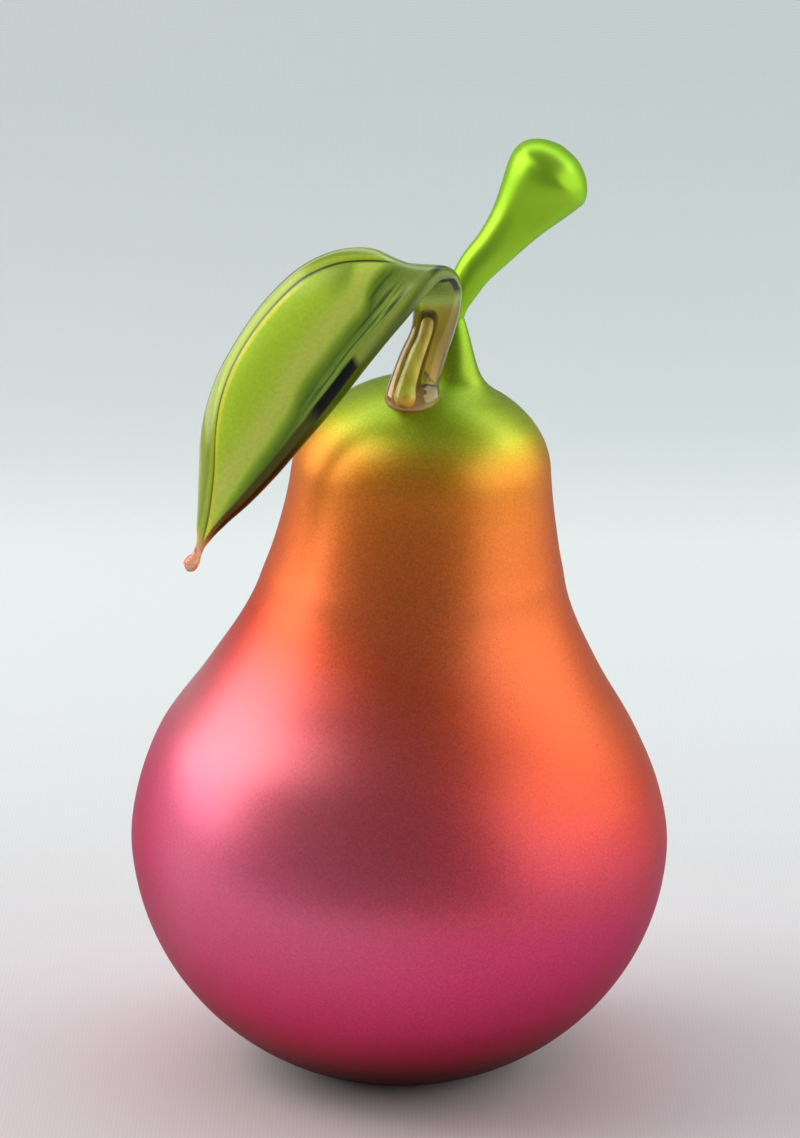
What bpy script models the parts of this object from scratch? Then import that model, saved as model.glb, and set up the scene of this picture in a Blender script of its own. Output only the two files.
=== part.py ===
"""A blown glass pear with a flared glass stem and a folded glass leaf, at its real size.

Metres, +Z up. The viewer of the pear's front looks along +Y, with +X to the right. The origin is
the middle of the flat foot that the pear stands on.
"""

import math

import bmesh
import bpy
import numpy as np
from mathutils import Vector

# The body's turned form, from the foot up. The underside is part of an ellipse.
BELLY_RADIUS = 0.0545
BELLY_HEIGHT = 0.0484
UNDERSIDE_DEPTH = 0.0515
FLANK = (  # height, radius
    (0.057, 0.0531),
    (0.069, 0.0486),
    (0.083, 0.0397),
    (0.097, 0.0321),
    (0.111, 0.0281),
)
DOME_RADIUS = 0.0260
DOME_FOOT = 0.123
DOME_RISE = 0.0202

# Blown by hand, the body isn't straight: its centre line wanders sideways with height.
CENTRE_LINE = (  # height, shift to the right
    (0.0, 0.0),
    (0.045, -0.0001),
    (0.059, -0.0004),
    (0.071, -0.0006),
    (0.083, 0.0004),
    (0.097, 0.0019),
    (0.111, 0.0033),
    (0.125, 0.0042),
    (0.143, 0.0043),
)

# The dome is drawn up into a spur, right of its middle, that carries the stem.
SPUR_SHIFT = 0.0064
SPUR_SHIFT_STARTS = 0.020
SPUR_SHIFT_ENDS = 0.006
SPUR_LEVEL = 0.008  # above this height over the dome, the spur's rings lie level
SPUR = (  # radius, height above the dome
    (0.0120, 0.0),
    (0.0095, 0.00015),
    (0.0073, 0.0006),
    (0.0058, 0.0014),
    (0.0048, 0.0029),
    (0.0041, 0.0047),
    (0.0035, 0.0068),
    (0.0029, 0.0091),
    (0.0023, 0.0111),
    (0.0020, 0.0123),
)

# The stem's own line, from the crease at the spur to its rounded end, and its radius there.
STEM = (  # right, back, up, radius
    (0.0107, 0.0, 0.1552, 0.0020),
    (0.0109, 0.0, 0.1566, 0.0023),
    (0.0120, 0.0, 0.1595, 0.0029),
    (0.0142, 0.0, 0.1640, 0.0036),
    (0.0190, 0.0, 0.1695, 0.0042),
    (0.0224, 0.0, 0.1742, 0.0051),
    (0.0258, 0.0, 0.1787, 0.0071),
    (0.0274, 0.0, 0.1808, 0.0081),
    (0.0285, 0.0, 0.1825, 0.0084),
    (0.0293, 0.0, 0.1842, 0.0082),
    (0.0302, 0.0, 0.1857, 0.0078),
    (0.0316, 0.0, 0.1873, 0.0061),
    (0.0323, 0.0, 0.1880, 0.0043),
    (0.0327, 0.0, 0.1884, 0.0025),
    (0.0329, 0.0, 0.1886, 0.0008),
)

# The leaf is one strap of glass, from its foot on the dome, over the arch, to the bead at its
# tip. Each station gives the strap's right or lower edge, its left or upper edge, its thickness,
# how round its section is (2 is an ellipse) and how far the blade bows.
LEAF = (
    ((0.0080, -0.0094, 0.1390), (-0.0030, -0.0094, 0.1390), 0.0106, 2.0, 0.0),
    ((0.0080, -0.0094, 0.1418), (-0.0029, -0.0094, 0.1420), 0.0104, 2.0, 0.0),
    ((0.0077, -0.0093, 0.1432), (-0.0022, -0.0093, 0.1440), 0.0086, 2.0, 0.0),
    ((0.0083, -0.0092, 0.1460), (-0.0012, -0.0092, 0.1468), 0.0078, 2.0, 0.0),
    ((0.0093, -0.0090, 0.1497), (0.0002, -0.0090, 0.1504), 0.0072, 2.0, 0.0),
    ((0.0107, -0.0088, 0.1542), (0.0021, -0.0088, 0.1546), 0.0066, 2.1, 0.0),
    ((0.0117, -0.0087, 0.1587), (0.0025, -0.0087, 0.1586), 0.0060, 2.2, 0.0),
    ((0.0120, -0.0090, 0.1628), (0.0023, -0.0083, 0.1616), 0.0052, 2.4, 0.0),
    ((0.0109, -0.0102, 0.1657), (0.0020, -0.0076, 0.1636), 0.0045, 2.6, 0.0),
    ((0.0085, -0.0124, 0.1664), (0.0010, -0.0068, 0.1647), 0.0040, 2.8, 0.0001),
    ((0.0056, -0.0146, 0.1641), (-0.0008, -0.0063, 0.1669), 0.0036, 3.2, 0.0004),
    ((0.0021, -0.0158, 0.1600), (-0.0044, -0.0060, 0.1695), 0.0034, 4.0, 0.0010),
    ((-0.0026, -0.0164, 0.1545), (-0.0110, -0.0060, 0.1698), 0.0032, 5.0, 0.0016),
    ((-0.0077, -0.0170, 0.1482), (-0.0182, -0.0065, 0.1671), 0.0031, 6.0, 0.0021),
    ((-0.0131, -0.0170, 0.1410), (-0.0252, -0.0075, 0.1612), 0.0030, 6.0, 0.0023),
    ((-0.0190, -0.0170, 0.1338), (-0.0314, -0.0088, 0.1530), 0.0030, 6.0, 0.0023),
    ((-0.0245, -0.0170, 0.1272), (-0.0360, -0.0100, 0.1446), 0.0029, 6.0, 0.0021),
    ((-0.0300, -0.0165, 0.1212), (-0.0386, -0.0110, 0.1352), 0.0028, 5.0, 0.0017),
    ((-0.0344, -0.0158, 0.1170), (-0.0392, -0.0120, 0.1258), 0.0026, 4.0, 0.0010),
    ((-0.0374, -0.0148, 0.1135), (-0.0395, -0.0129, 0.1176), 0.0024, 3.0, 0.0004),
    ((-0.0389, -0.0139, 0.1107), (-0.0402, -0.0133, 0.1118), 0.0018, 2.0, 0.0),
    ((-0.0392, -0.0137, 0.1096), (-0.0408, -0.0133, 0.1105), 0.0020, 2.0, 0.0),
    ((-0.0394, -0.0135, 0.1087), (-0.0416, -0.0133, 0.1099), 0.0027, 2.0, 0.0),
    ((-0.0397, -0.0135, 0.1077), (-0.0425, -0.0135, 0.1091), 0.0032, 2.0, 0.0),
    ((-0.0403, -0.0135, 0.1070), (-0.0426, -0.0135, 0.1082), 0.0026, 2.0, 0.0),
    ((-0.0413, -0.0135, 0.1067), (-0.0421, -0.0135, 0.1071), 0.0010, 2.0, 0.0),
)
BLADE_SECTION = (  # place across from the lower edge (-1) to the upper (1), bow as a share
    (-1.0, -0.70),
    (-0.95, -0.25),
    (-0.86, 0.25),
    (-0.72, 0.30),
    (-0.50, 0.00),
    (-0.25, 0.55),
    (0.0, 0.90),
    (0.25, 1.00),
    (0.50, 0.85),
    (0.72, 0.55),
    (0.86, 0.28),
    (0.95, 0.10),
    (1.0, 0.0),
)

CLEARANCE = 0.0003  # kept between neighbouring pieces
MERGE_DISTANCE = 0.00001
TURNED_STEPS = 64
STEM_BEVEL_RESOLUTION = 10
UNDERSIDE_SPANS = 6
DOME_SPANS = 5
BODY_STEP = 0.0035  # between one ring of the mesh and the next
STEM_STEP = 0.0015
LEAF_STEP = 0.0022


def clear_scene():
    """Removes what the scene starts with."""
    for obj in list(bpy.data.objects):
        bpy.data.objects.remove(obj, do_unlink=True)


def new_collection(name):
    """Adds a collection to the scene."""
    collection = bpy.data.collections.new(name)
    bpy.context.scene.collection.children.link(collection)
    return collection


def smooth_line(rows, step, columns):
    """A smooth curve through rows of numbers, whose first columns are a place.

    Returns the rows along it, about a step apart.
    """
    rows = np.array(rows)
    rises = np.diff(rows, axis=0)
    lengths = np.linalg.norm(rises[:, :columns], axis=1, keepdims=True)
    slopes = rises / lengths
    share = lengths[:-1] / (lengths[:-1] + lengths[1:])
    inner = slopes[:-1] * (1 - share) + slopes[1:] * share
    first, last = (3 * slopes[0] - inner[0]) / 2, (3 * slopes[-1] - inner[-1]) / 2
    tangents = np.vstack((first, inner, last))
    line = [rows[0]]
    for index, length in enumerate(lengths[:, 0]):
        count = max(1, round(length / step))
        leave, arrive = tangents[index] * length, tangents[index + 1] * length
        for t in np.arange(1, count + 1) / count:
            blend = 3 * t**2 - 2 * t**3
            bend = leave * t * (1 - t) ** 2 - arrive * t**2 * (1 - t)
            line.append(rows[index] + rises[index] * blend + bend)
    return np.array(line)


def eased(value):
    """Goes smoothly from 0 to 1 as value does."""
    value = min(max(value, 0.0), 1.0)
    return value * value * (3 - 2 * value)


def dome_height(distance):
    """The dome's height that far from its axis."""
    return DOME_FOOT + DOME_RISE * math.sqrt(max(1 - (distance / DOME_RADIUS) ** 2, 0.0))


def body_outline():
    """The body's turned outline from the foot's edge to the spur's top, as radius and height."""
    foot_angle = math.asin(-BELLY_HEIGHT / UNDERSIDE_DEPTH)
    points = []
    for angle in np.linspace(foot_angle, 0.0, UNDERSIDE_SPANS + 1):
        height = BELLY_HEIGHT + UNDERSIDE_DEPTH * math.sin(angle)
        points.append((BELLY_RADIUS * math.cos(angle), height))
    points += [(radius, height) for height, radius in FLANK]
    last_angle = math.acos(SPUR[0][0] / DOME_RADIUS)
    for angle in np.linspace(0.0, last_angle, DOME_SPANS, endpoint=False):
        distance = DOME_RADIUS * math.cos(angle)
        points.append((distance, dome_height(distance)))
    points += [(radius, dome_height(radius) + rise) for radius, rise in SPUR]
    return smooth_line(points, BODY_STEP, 2)


def grown(outline, by):
    """The outline moved out from the body, square to itself."""
    along = np.gradient(outline, axis=0)
    along /= np.linalg.norm(along, axis=1, keepdims=True)
    return outline + by * np.stack((along[:, 1], -along[:, 0]), axis=1)


def drawn_aside(point, centre_line):
    """Takes a turned point to its place on the leaning body, and the spur off the dome's axis."""
    radius = math.hypot(point.x, point.y)
    place = Vector(point)
    if point.z > DOME_FOOT and radius < SPUR_SHIFT_STARTS:
        rise = point.z - dome_height(radius)
        share = (SPUR_SHIFT_STARTS - radius) / (SPUR_SHIFT_STARTS - SPUR_SHIFT_ENDS)
        place.x += SPUR_SHIFT * eased(share)
        level = eased(rise / SPUR_LEVEL)
        under = dome_height(math.hypot(place.x, place.y))
        place.z = rise + under * (1 - level) + dome_height(SPUR_SHIFT) * level
    place.x += np.interp(point.z, *centre_line.T)
    return place


def turned_body(name, collection, by=0.0):
    """The body, or a copy of it that is larger all round by a set distance."""
    outline = body_outline()
    if by:
        outline = grown(outline, by)
    profile = [(0.0, outline[-1][1]), *outline[::-1], (0.0, outline[0][1])]
    edges = [(index, index + 1) for index in range(len(profile) - 1)]
    mesh = bpy.data.meshes.new(name)
    mesh.from_pydata([(radius, 0.0, height) for radius, height in profile], edges, [])
    turning = bpy.data.objects.new(name + "_turning", mesh)
    collection.objects.link(turning)
    screw = turning.modifiers.new("Turn", "SCREW")
    screw.steps = TURNED_STEPS
    screw.render_steps = TURNED_STEPS
    screw.use_merge_vertices = True
    screw.merge_threshold = MERGE_DISTANCE
    turned = bpy.data.meshes.new_from_object(turning.evaluated_get(updated_graph()))
    bpy.data.objects.remove(turning, do_unlink=True)
    turned.name = name
    centre_line = smooth_line(CENTRE_LINE, BODY_STEP, 1)
    for vertex in turned.vertices:
        vertex.co = drawn_aside(vertex.co, centre_line)
    body = bpy.data.objects.new(name, turned)
    collection.objects.link(body)
    return body


def updated_graph():
    """The dependency graph, with every new object evaluated."""
    bpy.context.view_layer.update()
    return bpy.context.evaluated_depsgraph_get()


def flared_stem(name, collection):
    """The stem: a tube along its own line that flares to a rounded end."""
    curve = bpy.data.curves.new(name, "CURVE")
    curve.dimensions = "3D"
    curve.bevel_depth = 1.0
    curve.bevel_resolution = STEM_BEVEL_RESOLUTION
    curve.use_fill_caps = True
    line = smooth_line(STEM, STEM_STEP, 3)
    spline = curve.splines.new("POLY")
    spline.points.add(len(line) - 1)
    for point, (x, y, z, radius) in zip(spline.points, line):
        point.co = (x, y, z, 1.0)
        point.radius = radius
    tube = bpy.data.objects.new(name + "_tube", curve)
    collection.objects.link(tube)
    mesh = bpy.data.meshes.new_from_object(tube.evaluated_get(updated_graph()))
    bpy.data.objects.remove(tube, do_unlink=True)
    mesh.name = name
    shape = bmesh.new()
    shape.from_mesh(mesh)
    bmesh.ops.remove_doubles(shape, verts=shape.verts, dist=MERGE_DISTANCE)
    bmesh.ops.recalc_face_normals(shape, faces=shape.faces)
    shape.to_mesh(mesh)
    shape.free()
    stem = bpy.data.objects.new(name, mesh)
    collection.objects.link(stem)
    return stem


def leaf_ring(centre, forward, station):
    """The points round the strap's section at one station."""
    lower, upper = Vector(station[0:3]), Vector(station[3:6])
    thickness, roundness, bow = station[6:9]
    across = upper - lower
    half_width = across.length / 2
    across.normalize()
    under = forward.cross(across).normalized()
    front, back = [], []
    for place, share in BLADE_SECTION:
        half = thickness / 2 * (1 - abs(place) ** roundness) ** (1 / roundness)
        middle = centre + across * half_width * place - under * bow * share
        front.append(middle - under * half)
        back.append(middle + under * half)
    return front + back[-2:0:-1]


def folded_leaf(name, collection):
    """The leaf: a loft through its stations, from the foot to the bead."""
    flat = [(*lower, *upper, *rest) for lower, upper, *rest in LEAF]
    stations = smooth_line(flat, LEAF_STEP, 6)
    centres = [(Vector(s[0:3]) + Vector(s[3:6])) / 2 for s in stations]
    shape = bmesh.new()
    rings = []
    for index, station in enumerate(stations):
        before, after = centres[max(index - 1, 0)], centres[min(index + 1, len(centres) - 1)]
        points = leaf_ring(centres[index], (after - before).normalized(), station)
        rings.append([shape.verts.new(point) for point in points])
    for ring, following in zip(rings, rings[1:]):
        for index in range(len(ring)):
            beside = (index + 1) % len(ring)
            shape.faces.new((ring[index], ring[beside], following[beside], following[index]))
    shape.faces.new(reversed(rings[0]))
    shape.faces.new(rings[-1])
    bmesh.ops.recalc_face_normals(shape, faces=shape.faces)
    mesh = bpy.data.meshes.new(name)
    shape.to_mesh(mesh)
    shape.free()
    leaf = bpy.data.objects.new(name, mesh)
    collection.objects.link(leaf)
    return leaf


def cut_clear_of_body(leaf, cutters):
    """Trims the leaf's foot to the dome that it stands on, with a hair of clearance."""
    cutter = turned_body("body_clearance", cutters, CLEARANCE)
    cutter.hide_render = True
    cutter.display_type = "WIRE"
    trim = leaf.modifiers.new("Trim to dome", "BOOLEAN")
    trim.operation = "DIFFERENCE"
    trim.object = cutter


def glass(name, colour, roughness, metallic, transmission=0.0):
    """A glass finish."""
    material = bpy.data.materials.new(name)
    material.use_nodes = True
    shader = material.node_tree.nodes["Principled BSDF"]
    shader.inputs["Base Color"].default_value = (*colour, 1.0)
    shader.inputs["Roughness"].default_value = roughness
    shader.inputs["Metallic"].default_value = metallic
    shader.inputs["Transmission Weight"].default_value = transmission
    return material


def main():
    """Builds the pear."""
    clear_scene()
    pieces = new_collection("glass_pear")
    cutters = new_collection("cutters")
    body = turned_body("body", pieces)
    body.data.materials.append(glass("satin_red_glass", (0.62, 0.09, 0.08), 0.35, 0.8))
    stem = flared_stem("stem", pieces)
    stem.data.materials.append(glass("satin_lime_glass", (0.27, 0.52, 0.04), 0.32, 0.8))
    leaf = folded_leaf("leaf", pieces)
    cut_clear_of_body(leaf, cutters)
    leaf.data.materials.append(glass("cased_green_glass", (0.24, 0.36, 0.05), 0.08, 0.0, 0.4))
    for piece in (body, stem, leaf):
        piece.data.shade_smooth()


main()
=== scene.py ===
"""Dresses the blown glass pear: satin lustre body and stem, and a leaf of cased green glass."""

import logging
import math
from dataclasses import dataclass, field
from enum import Enum
from typing import Any, Sequence

import bpy
import numpy as np
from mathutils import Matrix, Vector


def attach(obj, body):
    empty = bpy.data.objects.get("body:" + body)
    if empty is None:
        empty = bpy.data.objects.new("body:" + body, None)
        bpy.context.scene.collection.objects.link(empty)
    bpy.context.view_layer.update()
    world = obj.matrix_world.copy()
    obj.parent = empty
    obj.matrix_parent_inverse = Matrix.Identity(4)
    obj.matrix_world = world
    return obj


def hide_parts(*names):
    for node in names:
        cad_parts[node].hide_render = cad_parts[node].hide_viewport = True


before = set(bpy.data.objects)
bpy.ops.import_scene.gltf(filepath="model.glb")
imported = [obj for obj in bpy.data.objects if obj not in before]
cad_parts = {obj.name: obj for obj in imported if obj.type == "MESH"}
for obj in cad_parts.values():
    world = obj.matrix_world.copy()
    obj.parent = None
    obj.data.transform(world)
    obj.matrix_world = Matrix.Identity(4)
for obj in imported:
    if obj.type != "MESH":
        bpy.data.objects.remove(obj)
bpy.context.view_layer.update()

Row = tuple[float, ...]
Mask = tuple[str, float, float]  # what it follows, where that shuts it and where that opens it
Marks = dict[str, bpy.types.NodeSocket]
MM = 0.001
ALONG_ACROSS = "along_across"  # the leaf's UV layer
log = logging.getLogger("glass_pear")


class Slot(Enum):
    """The material slots' names."""

    BODY = "satin_red_glass"
    STEM = "satin_lime_glass"
    LEAF = "cased_green_glass"


def linear(code: str) -> tuple[float, float, float, float]:
    """Turns an sRGB hex colour to the linear one that shaders take.

    Args:
        code: Six hex digits after a hash.

    Returns:
        Red, green, blue and an alpha of 1.
    """
    parts = [int(code[start : start + 2], 16) / 255 for start in (1, 3, 5)]
    red, green, blue = (
        part / 12.92 if part <= 0.04045 else ((part + 0.055) / 1.055) ** 2.4 for part in parts
    )
    return red, green, blue, 1.0


def add_node(
    tree: bpy.types.NodeTree,
    kind: str,
    settings: dict[str, Any] | None = None,
    values: dict[str | int, Any] | None = None,
    links: dict[str | int, bpy.types.NodeSocket] | None = None,
    stops: Sequence[tuple[float, str]] = (),
) -> bpy.types.Node:
    """Adds a node with its settings and links.

    Args:
        tree: The material's or world's node tree.
        kind: Blender's name for the node type.
        settings: The node's own properties.
        values: Input sockets' values.
        links: Input sockets and what feeds them.
        stops: A colour ramp's places and hex colours.

    Returns:
        The new node.
    """
    node = tree.nodes.new(kind)
    for name, value in (settings or {}).items():
        setattr(node, name, value)
    for name, value in (values or {}).items():
        node.inputs[name].default_value = value
    for name, source in (links or {}).items():
        tree.links.new(source, node.inputs[name])
    if stops:
        elements = node.color_ramp.elements
        while len(elements) < len(stops):
            elements.new(1.0)
        for element, (place, code) in zip(elements, stops):
            element.position = place
            element.color = linear(code)
    return node


def new_material(name: str) -> tuple[bpy.types.Material, bpy.types.NodeTree, bpy.types.Node]:
    """Makes a material.

    Args:
        name: What the real material is.

    Returns:
        The material, its tree and its Principled shader.
    """
    material = bpy.data.materials.new(name)
    material.use_nodes = True
    tree = material.node_tree
    return material, tree, tree.nodes["Principled BSDF"]


def masked(
    tree: bpy.types.NodeTree, marks: Marks, masks: Sequence[Mask], most: float = 1.0
) -> bpy.types.NodeSocket | None:
    """Multiplies masks that open smoothly.

    Args:
        tree: The material's tree.
        marks: The values that masks follow.
        masks: The masks.
        most: The result where all are open.

    Returns:
        The product's socket, or None where there are no masks.
    """
    result = None
    for mark, shut, wide in masks:
        gate = add_node(
            tree,
            "ShaderNodeMapRange",
            {"interpolation_type": "SMOOTHSTEP"},
            {"From Min": shut, "From Max": wide, "To Max": most if result is None else 1.0},
            {"Value": marks[mark]},
        ).outputs["Result"]
        result = gate if result is None else add_node(
            tree, "ShaderNodeMath", {"operation": "MULTIPLY"}, links={0: result, 1: gate}
        ).outputs["Value"]
    return result


def toned(
    tree: bpy.types.NodeTree,
    colour: bpy.types.NodeSocket,
    pattern: bpy.types.NodeSocket,
    reach: tuple[float, float],
    tones: tuple[float, float],
) -> bpy.types.NodeSocket:
    """Darkens and lightens a colour by a pattern.

    Args:
        tree: The material's tree.
        colour: The colour.
        pattern: The pattern's value.
        reach: The pattern's values where the tone is least and greatest.
        tones: The least and the greatest tone, where 1 leaves the colour alone.

    Returns:
        The new colour's socket.
    """
    tone = add_node(
        tree,
        "ShaderNodeMapRange",
        values={"From Min": reach[0], "From Max": reach[1], "To Min": tones[0], "To Max": tones[1]},
        links={"Value": pattern},
    )
    return add_node(
        tree,
        "ShaderNodeHueSaturation",
        links={"Value": tone.outputs["Result"], "Color": colour},
    ).outputs["Color"]


def smooth_line(rows: Sequence[Row], step: float, columns: int) -> np.ndarray:
    """Runs a smooth curve through rows of numbers, whose first columns are a place.

    Args:
        rows: The rows it passes through.
        step: About how far apart its own rows are.
        columns: How many of the first columns the distance is measured on.

    Returns:
        The curve's rows.
    """
    table = np.array(rows)
    rises = np.diff(table, axis=0)
    lengths = np.linalg.norm(rises[:, :columns], axis=1, keepdims=True)
    slopes = rises / lengths
    share = lengths[:-1] / (lengths[:-1] + lengths[1:])
    inner = slopes[:-1] * (1 - share) + slopes[1:] * share
    first, last = (3 * slopes[0] - inner[0]) / 2, (3 * slopes[-1] - inner[-1]) / 2
    tangents = np.vstack((first, inner, last))
    line = [table[0]]
    for index, length in enumerate(lengths[:, 0]):
        count = max(1, round(length / step))
        leave, arrive = tangents[index] * length, tangents[index + 1] * length
        for t in np.arange(1, count + 1) / count:
            blend = 3 * t**2 - 2 * t**3
            bend = leave * t * (1 - t) ** 2 - arrive * t**2 * (1 - t)
            line.append(table[index] + rises[index] * blend + bend)
    return np.array(line)


def eased(value: float) -> float:
    """Goes smoothly from 0 to 1 as value does."""
    value = min(max(value, 0.0), 1.0)
    return value * value * (3 - 2 * value)


@dataclass(frozen=True)
class Ring:
    """One ring of a turned or swept shape: its middle, its radius and its lean from level."""

    x: float
    z: float
    radius: float
    lean: float = 0.0


def model_from_rings(
    name: str, rings: Sequence[Ring], sides: int, levels: int, relax: int = 0
) -> bpy.types.Object:
    """Models a closed round shape: a circle is extruded from ring to ring, then subdivided.

    Args:
        name: The piece's name.
        rings: The rings from first to last.
        sides: The circle's vertices.
        levels: Levels of the Subdivision Surface modifier, which is applied.
        relax: How often the cage is smoothed first.

    Returns:
        The finished mesh object, at the origin.
    """
    bpy.ops.object.select_all(action="DESELECT")
    start = rings[0]
    bpy.ops.mesh.primitive_circle_add(
        vertices=sides, radius=start.radius, fill_type="NGON", location=(0, 0, 0)
    )
    piece = bpy.context.object
    piece.name = piece.data.name = name
    bpy.ops.object.mode_set(mode="EDIT")
    bpy.ops.transform.translate(value=(start.x, 0, start.z))
    turn_ring(start, start.lean)
    for before, ring in zip(rings, rings[1:]):
        step = (ring.x - before.x, 0, ring.z - before.z)
        bpy.ops.mesh.extrude_region_move(TRANSFORM_OT_translate={"value": step})
        scale = ring.radius / before.radius
        centre = (ring.x, 0, ring.z)
        bpy.ops.transform.resize(value=(scale, scale, scale), center_override=centre)
        turn_ring(ring, ring.lean - before.lean)
    bpy.ops.mesh.select_all(action="SELECT")
    bpy.ops.mesh.normals_make_consistent(inside=False)
    if relax:
        bpy.ops.mesh.vertices_smooth(factor=0.5, repeat=relax)
    bpy.ops.object.mode_set(mode="OBJECT")
    return finish_mesh(piece, levels)


def turn_ring(ring: Ring, angle: float) -> None:
    """Leans the selected ring to the right about its middle."""
    if abs(angle) > 1e-6:
        centre = (ring.x, 0, ring.z)
        bpy.ops.transform.rotate(value=-angle, orient_axis="Y", center_override=centre)


def finish_mesh(piece: bpy.types.Object, levels: int) -> bpy.types.Object:
    """Applies a Subdivision Surface and smooth shading, and leaves the piece at the origin.

    Args:
        piece: The cage.
        levels: Levels of the modifier.

    Returns:
        The same object.
    """
    bpy.ops.object.select_all(action="DESELECT")
    piece.select_set(True)
    bpy.context.view_layer.objects.active = piece
    if levels:
        modifier = piece.modifiers.new("Smooth", "SUBSURF")
        modifier.levels = modifier.render_levels = levels
        bpy.ops.object.modifier_apply(modifier=modifier.name)
    bpy.ops.object.transform_apply(location=True, rotation=True, scale=True)
    bpy.ops.object.shade_smooth()
    return piece


def dress(piece: bpy.types.Object, material: bpy.types.Material, slot: Slot, *nodes: str) -> None:
    """Gives a piece its finish, its body and the CAD nodes that it stands for.

    Args:
        piece: The piece.
        material: Its finish.
        slot: Not used.
        nodes: CAD nodes that it replaces.
    """
    piece.data.materials.clear()
    piece.data.materials.append(material)
    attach(piece, "root")
    if nodes:
        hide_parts(*nodes)
    log.info("%s: %d faces", piece.name, len(piece.data.polygons))


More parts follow.
